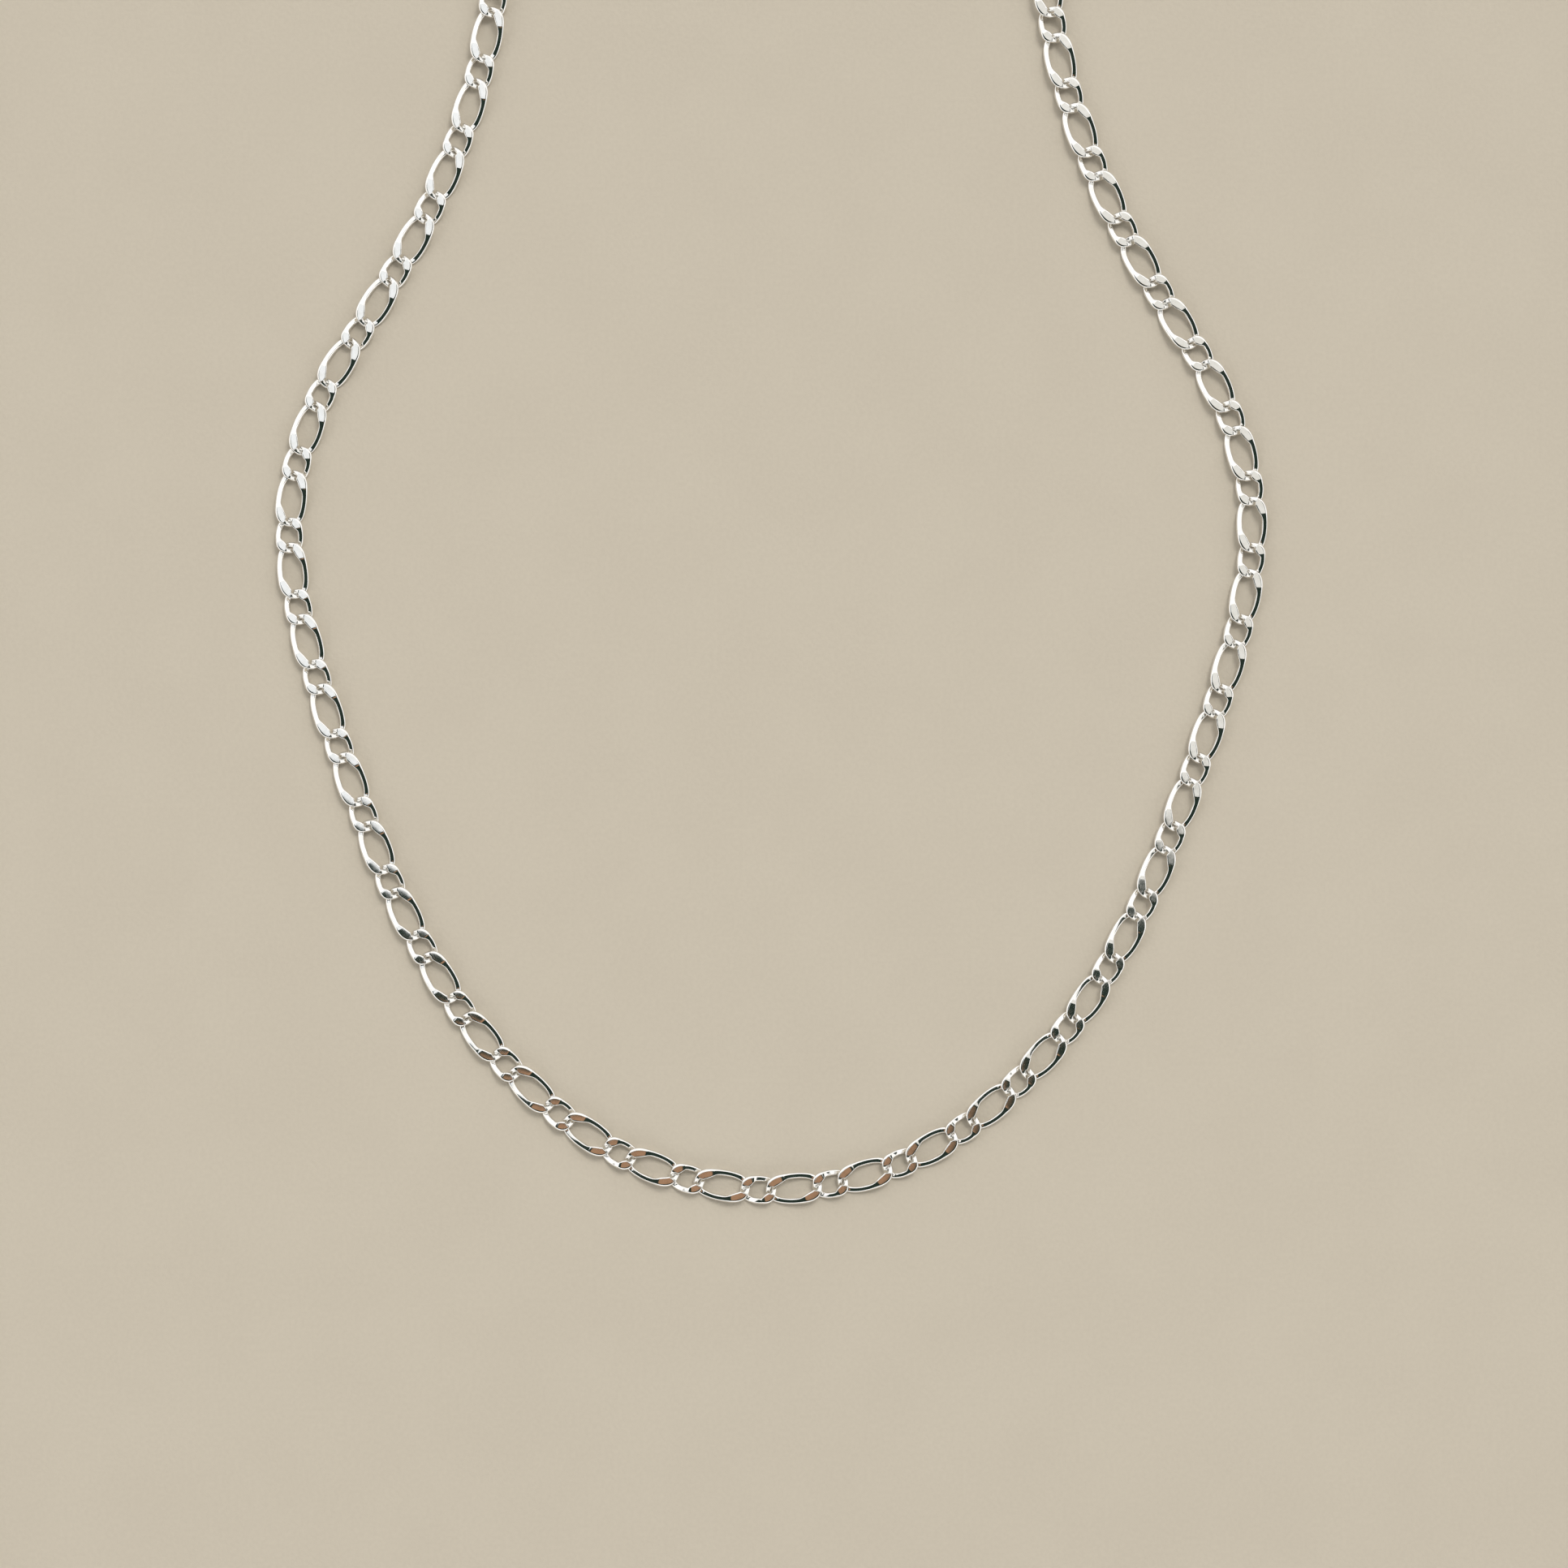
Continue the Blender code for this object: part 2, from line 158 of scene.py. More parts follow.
# Colours of clean and of slightly tarnished metal
SILVER = ((0.955, 0.945, 0.925), (0.86, 0.84, 0.79))
PIN_STEEL = ((0.68, 0.68, 0.69), (0.52, 0.51, 0.50))
SPRING_STEEL = ((0.60, 0.60, 0.62), (0.42, 0.41, 0.41))

# Roughness of each piece where it is cleanest
LINK_ROUGHNESS = 0.055
RING_ROUGHNESS = 0.09
CAST_ROUGHNESS = 0.10
LEVER_ROUGHNESS = 0.14
PIN_ROUGHNESS = 0.20
SPRING_ROUGHNESS = 0.28

# Wear. Each pattern has its features per metre along the piece's axes, its turn, its detail and the
# two levels of noise between which it comes in
TARNISH = ((900, 900, 900), (0, 0, 0), 3, 0.42, 0.75)
BUFFING = ((500, 14000, 14000), (0, 0, 0), 2, 0.30, 0.70)
SCRATCHES = ((700, 22000, 9000), (0.2, 0.1, 0.65), 0, 0.71, 0.78)
CROSS_SCRATCHES = ((800, 20000, 9000), (-0.1, 0.3, -0.95), 0, 0.72, 0.79)
DENTS = ((1300, 1300, 1300), (0, 0, 0), 1, 0.25, 0.75)
TARNISH_SHARE = 0.55
ROUGHER_TARNISH = 0.035        # added to the roughness where the pattern is full
ROUGHER_BUFFING = 0.015
ROUGHER_SCRATCHES = 0.07
ROUGHER_RUBBING = 0.12
RUBBED_EVENLY = 0.4            # of the rubbing; the rest of it follows the scratches
RUBBING_FADES = 0.5 * MM
RUBBING_INSIDE = 0.3 * MM      # of a link's end wire, where the rubbing begins
DENT_DEPTH = 4e-7
BUFFING_DEPTH = 1e-8
SCRATCH_DEPTH = 3e-8

# Floor
FLOOR_REACH = 6.0
FLOOR_DROP = 0.02 * MM         # keeps the floor clear of the lowest facets
FLOOR_PAPER = ((0.54, 0.485, 0.40), (0.575, 0.52, 0.43))
PAPER_CLOUDS = ((60, 60, 60), (0, 0, 0), 4, 0.3, 0.7)
PAPER_TOOTH = ((1500, 1500, 1500), (0, 0, 0), 3, 0.2, 0.8)
TOOTH_SHARE = 0.7              # of the paper's shade; the clouds make up the rest
PAPER_ROUGHNESS = (0.85, 0.95)
TOOTH_DEPTH = 2e-5

# Light. A place on the ceiling is (across, along) at unit height. Each patch has its middle, its radii,
# its squareness, its soft edge and its colour
TENT = (1.0, 0.985, 0.96)
TENT_STRENGTH = 1.15
HOOD = (0.018, 0.028, 0.022)
HORIZON = (0.36, 0.34, 0.31)
HORIZON_BAND = (0.05, 0.42)    # sines of the heights between which the tent brightens
SOFTBOX_FROM = Vector((0.45, 0.80, 1.15))
SOFTBOX_WIDTH = math.radians(24)
SOFTBOX_STRENGTH = 1.25
SOFTBOX_COLOUR = (1.0, 0.98, 0.94)
CEILING = [((-0.25, 0.10), (0.26, 0.20), 2, 0.30, (0.80, 0.82, 0.83)),
           ((0.25, 0.10), (0.26, 0.20), 2, 0.30, (0.70, 0.69, 0.65)),
           ((0.0, -0.54), (1.0, 0.52), 4, 0.02, HOOD),
           ((0.54, 0.10), (0.22, 0.32), 2, 0.10, HOOD),
           ((-0.52, 0.05), (0.22, 0.20), 2, 0.10, HOOD),
           ((-0.03, -0.125), (0.095, 0.048), 2, 0.42, (0.33, 0.19, 0.11))]


def joint_place(name):
    return next(Vector(j["pos_m"]) for j in frame["joints"] if j["name"] == name)


def smoothstep(low, high, value):
    t = min(max((value - low) / (high - low), 0), 1)
    return t * t * (3 - 2 * t)


def smooth_least(a, b, blend):
    """The lesser of two heights, with the corner between them rounded downwards."""
    share = min(max(0.5 + (b - a) / (2 * blend), 0), 1)
    return b + (a - b) * share - blend * share * (1 - share)


def mesh_of(name, verts, faces):
    mesh = bpy.data.meshes.new(name)
    mesh.from_pydata([tuple(v) for v in verts], [], faces)
    mesh.update()
    mesh.shade_smooth()
    return mesh


def closed_skin(sections):
    """Vertices and faces of a closed run of sections, each a loop of as many points."""
    count, around = len(sections), len(sections[0])
    faces = []
    for i in range(count):
        for k in range(around):
            here, ahead = i * around, (i + 1) % count * around
            right = (k + 1) % around
            faces.append((here + k, here + right, ahead + right, ahead + k))
    return [point for section in sections for point in section], faces


def catmull_rom(before, start, end, after, t):
    return 0.5 * (2 * start + (end - before) * t + (2 * before - 5 * start + 4 * end - after) * t ** 2
                  + (3 * start - before - 3 * end + after) * t ** 3)


def outline_point(points, position):
    last = len(points) - 1
    if position >= last:
        return points[last] + (points[last] - points[last - 1]) * (position - last)
    i = int(position)
    before = points[i - 1] if i > 0 else Vector((-points[1].x, points[1].y))
    after = points[min(i + 2, last)]
    return catmull_rom(before, points[i], points[i + 1], after, position - i)


def walk(points, steps):
    position, here = 0, points[0]
    found = [here]
    for step in steps:
        low, high = position, position + 2
        for _ in range(HALVINGS):
            middle = (low + high) / 2
            if (outline_point(points, middle) - here).length < step:
                low = middle
            else:
                high = middle
        position = (low + high) / 2
        here = outline_point(points, position)
        found.append(here)
    return found


def frame_along(origin, direction):
    along = direction.normalized()
    left = Vector((0, 0, 1)).cross(along).normalized()
    rows = Matrix((along, left, along.cross(left))).transposed()
    return Matrix.Translation(origin) @ rows.to_4x4()


def ring_height(diameter, wire):
    return (diameter - wire) / 2 * math.sin(RING_LEAN) + wire / 2


def link_frames(side):
    """Each link on one side of the front, from the front outwards: its length, width and frame."""
    swings = END_WIRE + LINK_PLAY
    joined = END_WIRE - LINK_PRESS
    kinds = [(LONG_LENGTH, LONG_WIDTH), (ROUND_LENGTH, ROUND_WIDTH)]
    kinds = (kinds if side > 0 else kinds[::-1]) * REPEATS_PER_SIDE
    spans = [length - END_WIRE - (swings + joined) / 2 for length, width in kinds]
    flat_joints = walk([Vector((side * x, y)) * MM for x, y in OUTLINE], spans)
    ring = (JUMP_RING_DIAMETER, JUMP_RING_WIRE) if side > 0 else (END_RING_DIAMETER, END_RING_WIRE)
    climb = ring_height(*ring) - THICKNESS / 2
    first = len(kinds) - CLIMBING_LINKS
    shift = joint_place("sway_left_01") - Vector((0, 0, THICKNESS / 2))
    joints = []
    for i, flat in enumerate(flat_joints):
        share = max(i - first, 0) / CLIMBING_LINKS
        joints.append(Vector((*flat, THICKNESS / 2 + climb * share ** 2)) + shift)
    links = []
    for i, (inner, outer) in enumerate(zip(joints, joints[1:])):
        length, width = kinds[i]
        past_inner = swings / 2 if i % 2 == 0 else joined / 2
        middle = Matrix.Translation(((length - END_WIRE) / 2 - past_inner, 0, 0))
        links.append((length, width, frame_along(inner, outer - inner) @ middle))
    return links


def half_section(half, flat, level, middle, up):
    """The upper or lower half of a wire's section, from its left side to its right, as (across, height).

    A crowned facet of half-width flat lies at the height level, and the rims are parts of an
    ellipse that stands upright at the height middle. up is 1 for the upper half and -1 for the lower.
    """
    start = math.asin(flat / half)
    rise = (level - middle) / math.cos(start)
    arc = []
    for i in range(1, ARC_STEPS + 1):
        angle = start + (math.pi / 2 - start) * i / ARC_STEPS
        arc.append((half * math.sin(angle), middle + rise * math.cos(angle)))
    facet = [(flat * share, level - up * FACET_DOME * share ** 2) for share in FACET_POINTS]
    return [(-u, z) for u, z in arc[::-1]] + facet + arc[:-1]


def link_mesh(name, length, width):
    """One struck link, centred at the origin, with its length along X."""
    half_length = (length - END_WIRE) / 2
    half_width = (width - SIDE_WIRE) / 2
    power = 2 / SQUARENESS
    sections = []
    for i in range(LINK_STATIONS):
        turn = 2 * math.pi * (i + 0.5) / LINK_STATIONS
        c, s = math.cos(turn), math.sin(turn)
        x = half_length * math.copysign(abs(c) ** power, c)
        y = half_width * math.copysign(abs(s) ** power, s)
        outward = Vector((half_width * c, half_length * s, 0)).normalized()
        from_end = math.atan2(abs(s), abs(c))
        wave = math.sin(2 * turn)
        if from_end > math.pi / 4:
            wave = math.asin(SIDE_EVENNESS * wave) / math.asin(SIDE_EVENNESS)
        lift = -TWIST * wave
        top = smooth_least(lift + WIRE_HEIGHT / 2, THICKNESS / 2, FILE_BLEND)
        bottom = -smooth_least(WIRE_HEIGHT / 2 - lift, THICKNESS / 2, FILE_BLEND)

        swell = smoothstep(SWELL_START, SWELL_FULL, from_end)
        swell -= smoothstep(SWELL_FADES, SWELL_GONE, from_end)
        if lift < 0:
            swell *= LOW_TIP_SHARE
        wire = END_WIRE + (SIDE_WIRE - END_WIRE) * s * s
        inner = wire / 2 + TIP_SWELL_IN * swell
        outer = wire / 2 + TIP_SWELL_OUT * swell
        half = (inner + outer) / 2
        centre = Vector((x, y, 0)) + outward * (outer - inner) / 2

        def flat_half(level):
            off_middle = (level - lift) / (WIRE_HEIGHT / 2)
            cut = math.sqrt(max(1 - off_middle ** 2, 0))
            return half * (SIDE_SHARE + (FACET_SHARE - SIDE_SHARE) * cut)

        middle = (top + bottom) / 2
        upper = half_section(half, flat_half(top), top, middle, 1)
        lower = half_section(half, flat_half(bottom), bottom, middle, -1)
        loop = upper + [(-u, z) for u, z in lower]
        section = []
        for u, z in loop:
            undercut = 1 - smoothstep(UNDERCUT_BOTTOM, UNDERCUT_TOP, z)
            u += (inner - wire / 2) * undercut * max(-u / half, 0)
            section.append(centre + outward * u + Vector((0, 0, z)))
        sections.append(section)
    return mesh_of(name, *closed_skin(sections))


def bmesh_to_mesh(name, bm):
    bmesh.ops.recalc_face_normals(bm, faces=bm.faces)
    mesh = bpy.data.meshes.new(name)
    bm.to_mesh(mesh)
    bm.free()
    mesh.shade_smooth()
    mesh.set_sharp_from_angle(angle=SHARP_ANGLE)
    return mesh


def evaluated(mesh, add_modifiers):
    """A new mesh, the given one after the modifiers that add_modifiers puts on its object."""
    base = bpy.data.objects.new("base", mesh)
    bpy.context.scene.collection.objects.link(base)
    add_modifiers(base)
    result = bpy.data.meshes.new_from_object(base.evaluated_get(bpy.context.evaluated_depsgraph_get()))
    bpy.data.objects.remove(base, do_unlink=True)
    return result


def combined(operation, first, second):
    """Two meshes joined, or the second cut from the first."""
    tool = bpy.data.objects.new("tool", second)
    bpy.context.scene.collection.objects.link(tool)

    def add_boolean(base):
        boolean = base.modifiers.new("boolean", "BOOLEAN")
        boolean.operation = operation
        boolean.solver = "EXACT"
        boolean.object = tool

    mesh = evaluated(first, add_boolean)
    bpy.data.objects.remove(tool, do_unlink=True)
    return mesh


def ring_mesh(name, diameter, wire, split, seam):
    """A ring of round wire, flat at the origin, sawn through or soldered at its +Y side."""
    middle = (diameter - wire) / 2
    around = [2 * math.pi * k / RING_SIDES for k in range(RING_SIDES)]

    def section(turn, swell):
        radius = wire / 2 * swell
        outs = [(middle + radius * math.cos(a), radius * math.sin(a)) for a in around]
        angle = turn + math.pi / 2
        return [Vector((math.cos(angle) * out, math.sin(angle) * out, up)) for out, up in outs]

    if not split:
        sections = []
        for i in range(RING_STATIONS):
            turn = 2 * math.pi * i / RING_STATIONS
            away = math.sin(turn / 2) * 2 * middle / SEAM_LENGTH
            sections.append(section(turn, 1 + seam * math.exp(-away ** 2)))
        return mesh_of(name, *closed_skin(sections))

    start, finish = split / 2 / middle, 2 * math.pi - split / 2 / middle
    corner = SPLIT_ROUND / middle
    inner = 1 - 2 * SPLIT_ROUND / wire
    stops = [(start, inner), (start + SPLIT_BEND * corner, (1 + inner) / 2), (start + corner, 1)]
    steps = RING_STATIONS - 1
    stops += [(start + corner + (finish - start - 2 * corner) * i / steps, 1) for i in range(1, steps)]
    stops += [(finish - corner, 1), (finish - SPLIT_BEND * corner, (1 + inner) / 2), (finish, inner)]
    verts, faces = closed_skin([section(turn, swell) for turn, swell in stops])
    last = (len(stops) - 1) * RING_SIDES
    faces = faces[:last] + [tuple(range(RING_SIDES))[::-1], tuple(range(last, last + RING_SIDES))]
    bm = bmesh.new()
    made = [bm.verts.new(vert) for vert in verts]
    for face in faces:
        bm.faces.new([made[i] for i in face])
    return bmesh_to_mesh(name, bm)


def smooth_loop(points, steps=OUTLINE_STEPS):
    count = len(points)
    loop = []
    for i in range(count):
        around = [Vector(points[(i + k) % count]) * MM for k in (-1, 0, 1, 2)]
        loop += [catmull_rom(*around, step / steps) for step in range(steps)]
    return loop


def plate_mesh(name, outline, thickness, edge_round=0.0, segments=4):
    """A flat plate with the given outline and rounded edges, on both sides of the XY plane."""
    bm = bmesh.new()
    face = bm.faces.new([bm.verts.new((point[0], point[1], -thickness / 2)) for point in outline])
    raised = bmesh.ops.extrude_face_region(bm, geom=[face])["geom"]
    upper = [item for item in raised if isinstance(item, bmesh.types.BMVert)]
    bmesh.ops.translate(bm, vec=(0, 0, thickness), verts=upper)
    if edge_round:
        rims = [edge for edge in bm.edges if edge.verts[0].co.z * edge.verts[1].co.z > 0]
        bmesh.ops.bevel(bm, geom=rims, offset=edge_round, segments=segments, profile=0.5,
                        affect="EDGES", clamp_overlap=True)
    return bmesh_to_mesh(name, bm)


def disc_outline(radius, sides, centre=Vector((0, 0))):
    turns = [2 * math.pi * i / sides for i in range(sides)]
    return [centre + Vector((math.cos(turn), math.sin(turn))) * radius for turn in turns]


def cast(mesh):
    """The mesh with its edges and corners softened, as in a tumbled casting."""
    mesh.transform(Matrix.Scale(1 / MM, 4))

    def add_softening(base):
        remesh = base.modifiers.new("remesh", "REMESH")
        remesh.mode = "VOXEL"
        remesh.voxel_size = CAST_VOXEL
        smooth = base.modifiers.new("smooth", "SMOOTH")
        smooth.iterations = CAST_SMOOTHING

    soft = evaluated(mesh, add_softening)
    soft.transform(Matrix.Scale(MM, 4))
    for vert in soft.vertices:
        across = (vert.co.x - CROWN_MIDDLE.x) / CROWN_REACH[0]
        along = (vert.co.y - CROWN_MIDDLE.y) / CROWN_REACH[1]
        thinning = min(across ** 2 + along ** 2, 1) * smoothstep(NECK_START, NECK_END, vert.co.x)
        vert.co.z *= 1 - CROWN * thinning
    return soft


def claw_mesh():
    """The clasp's cast body: claw and eye in one, with the lever's slot and the pin's hole."""
    through = 2 * CLASP_THICKNESS
    eye = plate_mesh("eye", disc_outline(EYE_BORE / 2 + EYE_RIM, 64), EYE_THICKNESS, EYE_THICKNESS / 3)
    body = plate_mesh("claw", smooth_loop(CLAW), CLASP_THICKNESS, EDGE_ROUND)
    body = combined("UNION", body, eye)
    body = combined("DIFFERENCE", body, plate_mesh("cutter", disc_outline(EYE_BORE / 2, 64), through))
    body = cast(body)
    slot = [Vector(point) * MM for point in SLOT]
    hole = disc_outline(PIN_DIAMETER / 2 + PIN_PLAY, BORE_SIDES, PIVOT)
    body = combined("DIFFERENCE", body, plate_mesh("cutter", slot, LEVER_THICKNESS + 2 * LEVER_PLAY))
    body = combined("DIFFERENCE", body, plate_mesh("cutter", hole, through))
    body.name = "clasp_body"
    body.shade_smooth()
    body.set_sharp_from_angle(angle=SHARP_ANGLE)
    return body


def lever_mesh():
    """The sprung lever, with a filed grip across its thumb tab and the hole for its pin."""
    lever = plate_mesh("lever", smooth_loop(LEVER), LEVER_THICKNESS, LEVER_EDGE_ROUND)
    points = [Vector(point) * MM for point in LEVER]
    cutters = [disc_outline(PIN_DIAMETER / 2 + PIN_PLAY, BORE_SIDES, PIVOT)]
    for i in range(GRIP_GROOVES):
        place = outline_point(points, GRIP_START + i * GRIP_STEP)
        cutters.append(disc_outline(GRIP_RADIUS, 12, place))
    for outline in cutters:
        lever = combined("DIFFERENCE", lever, plate_mesh("cutter", outline, 2 * LEVER_THICKNESS))
    lever.name = "clasp_lever"
    lever.shade_smooth()
    lever.set_sharp_from_angle(angle=SHARP_ANGLE)
    return lever


def pin_mesh():
    """A riveted pin with domed ends."""
    half = CLASP_THICKNESS / 2 - PIN_RECESS
    rings = [(share, half - drop * PIN_DOME) for share, drop in PIN_PROFILE]
    rings += [(share, -height) for share, height in rings[::-1]]
    bm = bmesh.new()
    loops = []
    for share, height in rings:
        outline = disc_outline(PIN_DIAMETER / 2 * share, BORE_SIDES, PIVOT)
        loops.append([bm.verts.new((*point, height)) for point in outline])
    for upper, lower in zip(loops, loops[1:]):
        for k in range(BORE_SIDES):
            ahead = (k + 1) % BORE_SIDES
            bm.faces.new((upper[k], upper[ahead], lower[ahead], lower[k]))
    bm.faces.new(loops[0])
    bm.faces.new(loops[-1][::-1])
    return bmesh_to_mesh("clasp_pin", bm)


def spring_mesh():
    """The bent leaf under the lever."""
    points = [Vector(point) * MM for point in SPRING_LINE]
    line = [points[0] + (points[1] - points[0]) * i / SPRING_STEPS for i in range(SPRING_STEPS)]
    last = SPRING_STEPS * (len(points) - 1)
    line += [outline_point(points, i / SPRING_STEPS) for i in range(SPRING_STEPS, last + 1)]
    above, below = [], []
    for i, point in enumerate(line):
        along = line[min(i + 1, len(line) - 1)] - line[max(i - 1, 0)]
        across = Vector((-along.y, along.x)).normalized() * SPRING_THICKNESS / 2
        above.append(point + across)
        below.append(point - across)
    return plate_mesh("clasp_spring", below + above[::-1], SPRING_WIDTH, SPRING_EDGE_ROUND, 2)


def shader_of(name):
    material = bpy.data.materials.new(name)
    material.use_nodes = True
    return material, material.node_tree, material.node_tree.nodes["Principled BSDF"]


def noise(tree, stretch, turn, detail, low, high):
    """Noise from 0 to 1 in the piece's own coordinates, by features per metre along each axis."""
    mapping = tree.nodes.new("ShaderNodeMapping")
    tree.links.new(tree.nodes.new("ShaderNodeTexCoord").outputs["Object"], mapping.inputs["Vector"])
    mapping.inputs["Rotation"].default_value = turn
    mapping.inputs["Scale"].default_value = stretch
    texture = tree.nodes.new("ShaderNodeTexNoise")
    tree.links.new(mapping.outputs["Vector"], texture.inputs["Vector"])
    texture.inputs["Scale"].default_value = 1.0
    texture.inputs["Detail"].default_value = detail
    return map_range(tree, texture.outputs["Fac"], low, high, 0, 1)


def map_range(tree, value, low, high, start, end):
    node = tree.nodes.new("ShaderNodeMapRange")
    node.interpolation_type = "SMOOTHSTEP"
    tree.links.new(value, node.inputs["Value"])
    limits = {"From Min": low, "From Max": high, "To Min": start, "To Max": end}
    for socket, limit in limits.items():
        node.inputs[socket].default_value = limit
    return node.outputs["Result"]


def bump(tree, height, depth, below=None):
    """A bump whose full height is the depth in metres, laid over another one."""
    node = tree.nodes.new("ShaderNodeBump")
    node.inputs["Strength"].default_value = 1.0
    node.inputs["Distance"].default_value = depth
    tree.links.new(height, node.inputs["Height"])
    if below is not None:
        tree.links.new(below, node.inputs["Normal"])
    return node.outputs["Normal"]


def metal(name, colours, roughness, reach=None):
    """Polished metal with cloudy tarnish, buffing lines along X, hairline scratches and rubbed ends.

    reach is how far from the origin along X the rubbing begins.
    """
    material, tree, shader = shader_of(name)
    clouds = noise(tree, *TARNISH)
    buffing = noise(tree, *BUFFING)
    scratches = math_node(tree, "MAXIMUM", noise(tree, *SCRATCHES), noise(tree, *CROSS_SCRATCHES))
    dents = noise(tree, *DENTS)

    colour = blended(tree, math_node(tree, "MULTIPLY", clouds, TARNISH_SHARE), *colours)
    tree.links.new(colour, shader.inputs["Base Color"])
    shader.inputs["Metallic"].default_value = 1.0
    rough = math_node(tree, "MULTIPLY_ADD", clouds, ROUGHER_TARNISH, roughness)
    rough = math_node(tree, "MULTIPLY_ADD", buffing, ROUGHER_BUFFING, rough)
    rough = math_node(tree, "MULTIPLY_ADD", scratches, ROUGHER_SCRATCHES, rough)
    if reach is not None:
        place = tree.nodes.new("ShaderNodeSeparateXYZ")
        tree.links.new(tree.nodes.new("ShaderNodeTexCoord").outputs["Object"], place.inputs[0])
        from_middle = math_node(tree, "ABSOLUTE", place.outputs["X"])
        rubbed = map_range(tree, from_middle, reach, reach + RUBBING_FADES, 0, 1)
        streaks = math_node(tree, "MULTIPLY_ADD", scratches, 1 - RUBBED_EVENLY, RUBBED_EVENLY)
        rubbed = math_node(tree, "MULTIPLY", rubbed, streaks)
        rough = math_node(tree, "MULTIPLY_ADD", rubbed, ROUGHER_RUBBING, rough)
    tree.links.new(rough, shader.inputs["Roughness"])
    normal = bump(tree, dents, DENT_DEPTH)
    normal = bump(tree, buffing, BUFFING_DEPTH, normal)
    normal = bump(tree, scratches, -SCRATCH_DEPTH, normal)
    tree.links.new(normal, shader.inputs["Normal"])
    return material


def add_piece(name, mesh, material, matrix, body, node):
    piece = bpy.data.objects.new(name, mesh)
    bpy.context.scene.collection.objects.link(piece)
    if not mesh.materials:
        mesh.materials.append(material)
    piece.matrix_world = matrix
    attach(piece, body)
    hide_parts(node)
    return piece


def add_links(sides):
    """One piece for each link, riding on its repeat."""
    looks = {}
    for kind, length, width in (("long", LONG_LENGTH, LONG_WIDTH), ("round", ROUND_LENGTH, ROUND_WIDTH)):
        reach = length / 2 - END_WIRE - RUBBING_INSIDE
        silver = metal(f"{kind}_link_silver", SILVER, LINK_ROUGHNESS, reach)
        looks[length] = (kind, link_mesh(f"{kind}_link", length, width), silver)
    for label, links in sides.items():
        for i, (length, width, matrix) in enumerate(links):
            kind, mesh, silver = looks[length]
            repeat = f"{label}_{i // 2 + 1:02d}"
            node = f"links_{repeat}"
            add_piece(f"{kind}_link_{repeat}", mesh, silver, matrix, node, node)


def ring_level(last_link, diameter, wire):
    """The frame of a ring on the last link, before the ring leans over."""
    length, _, matrix = last_link
    middle = (diameter - wire) / 2
    reach = END_WIRE / 2 + wire / 2 + RING_PLAY
    along = matrix.to_3x3().col[0]
    along.z = 0
    along.normalize()
    centre = matrix @ Vector(((length - END_WIRE) / 2, 0, 0)) + along * (middle - reach)
    centre.z = ring_height(diameter, wire)
    return frame_along(centre, along)


def add_rings(sides):
    lean = Matrix.Rotation(RING_LEAN, 4, "X")
    silver = metal("ring_silver", SILVER, RING_ROUGHNESS)
    jump_level = ring_level(sides["right"][-1], JUMP_RING_DIAMETER, JUMP_RING_WIRE)
    mesh = ring_mesh("jump_ring_wire", JUMP_RING_DIAMETER, JUMP_RING_WIRE, SPLIT, 0)
    add_piece("split_jump_ring", mesh, silver, jump_level @ lean, "jump_ring", "jump_ring")
    end_level = ring_level(sides["left"][-1], END_RING_DIAMETER, END_RING_WIRE)
    mesh = ring_mesh("end_ring_wire", END_RING_DIAMETER, END_RING_WIRE, 0, SEAM_SWELL)
    add_piece("soldered_end_ring", mesh, silver, end_level @ lean, "end_ring", "end_ring")
    return jump_level


def add_clasp(jump_level):
    ring_middle = (JUMP_RING_DIAMETER - JUMP_RING_WIRE) / 2
    reach = EYE_RIM / 2 + JUMP_RING_WIRE / 2 + EYE_PLAY
    eye_middle = (EYE_BORE + EYE_RIM) / 2
    matrix = jump_level @ Matrix.Translation((ring_middle - reach + eye_middle, 0, 0))
    matrix.translation.z = CLASP_THICKNESS / 2
    cast_silver = metal("cast_silver", SILVER, CAST_ROUGHNESS)
    lever_silver = metal("lever_silver", SILVER, LEVER_ROUGHNESS)
    pin_steel = metal("pin_steel", PIN_STEEL, PIN_ROUGHNESS)
    spring_steel = metal("spring_steel", SPRING_STEEL, SPRING_ROUGHNESS)
    for name, mesh, material, body, node, slot in (
            ("cast_claw", claw_mesh(), cast_silver, "clasp_body", "clasp_body", "clasp"),
            ("thumb_lever", lever_mesh(), lever_silver, "clasp_lever", "clasp_lever", "lever"),
            ("riveted_pin", pin_mesh(), pin_steel, "clasp_body", "clasp_pin", "pin_and_spring"),
            ("leaf_spring", spring_mesh(), spring_steel, "clasp_body", "clasp_spring", "pin_and_spring")):
        add_piece(name, mesh, material, matrix, body, node)


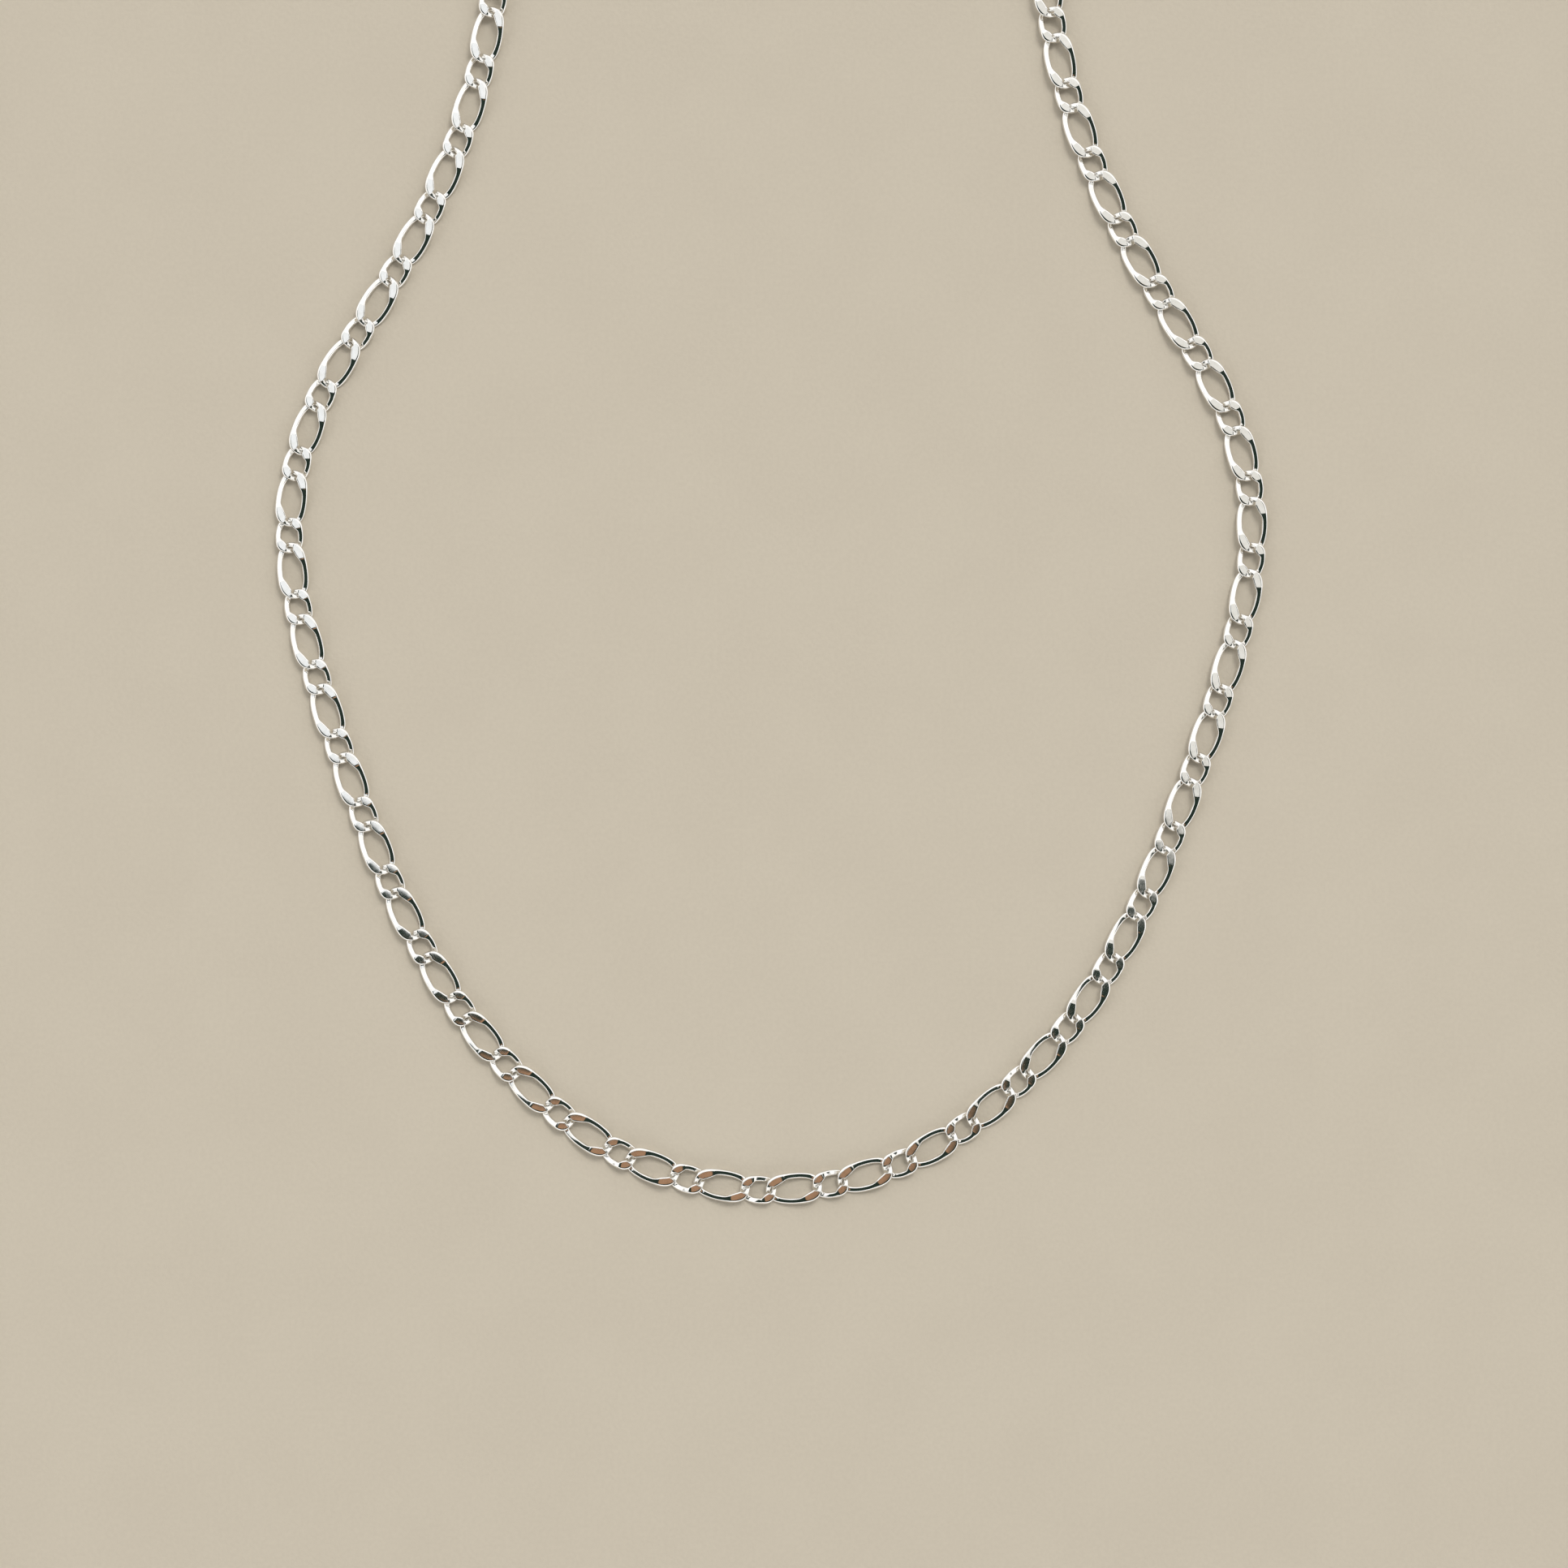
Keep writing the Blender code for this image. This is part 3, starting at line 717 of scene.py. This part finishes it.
def add_floor():
    """A sheet of plain pale paper with a faint tooth."""
    mesh = bpy.data.meshes.new("floor")
    corners = [(x * FLOOR_REACH, y * FLOOR_REACH, 0) for x, y in ((-1, -1), (1, -1), (1, 1), (-1, 1))]
    mesh.from_pydata(corners, [], [(0, 1, 2, 3)])
    floor = bpy.data.objects.new("floor", mesh)
    bpy.context.scene.collection.objects.link(floor)
    floor.location.z = -FLOOR_DROP
    material, tree, shader = shader_of("floor_paper")
    clouds = noise(tree, *PAPER_CLOUDS)
    tooth = noise(tree, *PAPER_TOOTH)
    cloudy = math_node(tree, "MULTIPLY", clouds, 1 - TOOTH_SHARE)
    shade = math_node(tree, "MULTIPLY_ADD", tooth, TOOTH_SHARE, cloudy)
    tree.links.new(blended(tree, shade, *FLOOR_PAPER), shader.inputs["Base Color"])
    tree.links.new(map_range(tree, tooth, 0, 1, *PAPER_ROUGHNESS), shader.inputs["Roughness"])
    tree.links.new(bump(tree, tooth, TOOTH_DEPTH), shader.inputs["Normal"])
    mesh.materials.append(material)


def add_camera():
    data = bpy.data.cameras.new("camera")
    camera = bpy.data.objects.new("camera", data)
    bpy.context.scene.collection.objects.link(camera)
    data.sensor_width = SENSOR * 1000
    data.lens = SENSOR * 1000 * CAMERA_HEIGHT / FRAME_WIDTH
    data.clip_start = 0.01
    camera.location = AIM + Vector((0, 0, CAMERA_HEIGHT))
    bpy.context.scene.camera = camera


def math_node(tree, operation, *inputs):
    """The output of a Math node; an input is a number or another node's output."""
    node = tree.nodes.new("ShaderNodeMath")
    node.operation = operation
    for socket, value in zip(node.inputs, inputs):
        if isinstance(value, bpy.types.NodeSocket):
            tree.links.new(value, socket)
        else:
            socket.default_value = value
    return node.outputs[0]


def soft_spot(tree, across, along, middle, radius, squareness, edge):
    """1 inside an oval on the ceiling, falling to 0 across its soft edge."""
    terms = []
    for place, centre, reach in ((across, middle[0], radius[0]), (along, middle[1], radius[1])):
        offset = math_node(tree, "ABSOLUTE", math_node(tree, "SUBTRACT", place, centre))
        terms.append(math_node(tree, "POWER", math_node(tree, "DIVIDE", offset, reach), squareness))
    away = math_node(tree, "POWER", math_node(tree, "ADD", *terms), 1 / squareness)
    return map_range(tree, away, 1 - edge, 1 + edge, 1, 0)


def blended(tree, share, below, above):
    """Colour above over colour below, by share; each is a colour or another node's output."""
    node = tree.nodes.new("ShaderNodeMix")
    node.data_type = "RGBA"
    tree.links.new(share, node.inputs["Factor"])
    for socket, colour in ((node.inputs[6], below), (node.inputs[7], above)):
        if isinstance(colour, bpy.types.NodeSocket):
            tree.links.new(colour, socket)
        else:
            socket.default_value = (*colour, 1)
    return node.outputs[2]


def add_light():
    """A white tent all round, with the dark hood that the picture is taken through overhead.

    Places on the ceiling are sideways distances at unit height. The hood shows in what faces up,
    such as the facets, and the tent in what slopes. A softbox from behind throws the soft shadows.
    """
    world = bpy.data.worlds.new("studio")
    bpy.context.scene.world = world
    world.use_nodes = True
    tree = world.node_tree
    direction = tree.nodes.new("ShaderNodeSeparateXYZ")
    tree.links.new(tree.nodes.new("ShaderNodeTexCoord").outputs["Generated"], direction.inputs[0])
    height = math_node(tree, "MAXIMUM", direction.outputs["Z"], 0.001)
    across = math_node(tree, "DIVIDE", direction.outputs["X"], height)
    along = math_node(tree, "DIVIDE", direction.outputs["Y"], height)
    colour = TENT
    for middle, radius, squareness, edge, spot in CEILING:
        share = soft_spot(tree, across, along, middle, radius, squareness, edge)
        colour = blended(tree, share, colour, spot)
    low = map_range(tree, direction.outputs["Z"], *HORIZON_BAND, 1, 0)
    colour = blended(tree, low, colour, HORIZON)
    background = tree.nodes["Background"]
    tree.links.new(colour, background.inputs["Color"])
    background.inputs["Strength"].default_value = TENT_STRENGTH

    lamp = bpy.data.lights.new("softbox", "SUN")
    lamp.energy = SOFTBOX_STRENGTH
    lamp.color = SOFTBOX_COLOUR
    lamp.angle = SOFTBOX_WIDTH
    softbox = bpy.data.objects.new("softbox", lamp)
    bpy.context.scene.collection.objects.link(softbox)
    softbox.rotation_euler = SOFTBOX_FROM.to_track_quat("Z", "Y").to_euler()
    softbox.visible_glossy = False


sides = {"left": link_frames(-1), "right": link_frames(1)}
add_links(sides)
add_clasp(add_rings(sides))
add_floor()
add_camera()
add_light()
bpy.context.scene.view_settings.view_transform = "Standard"
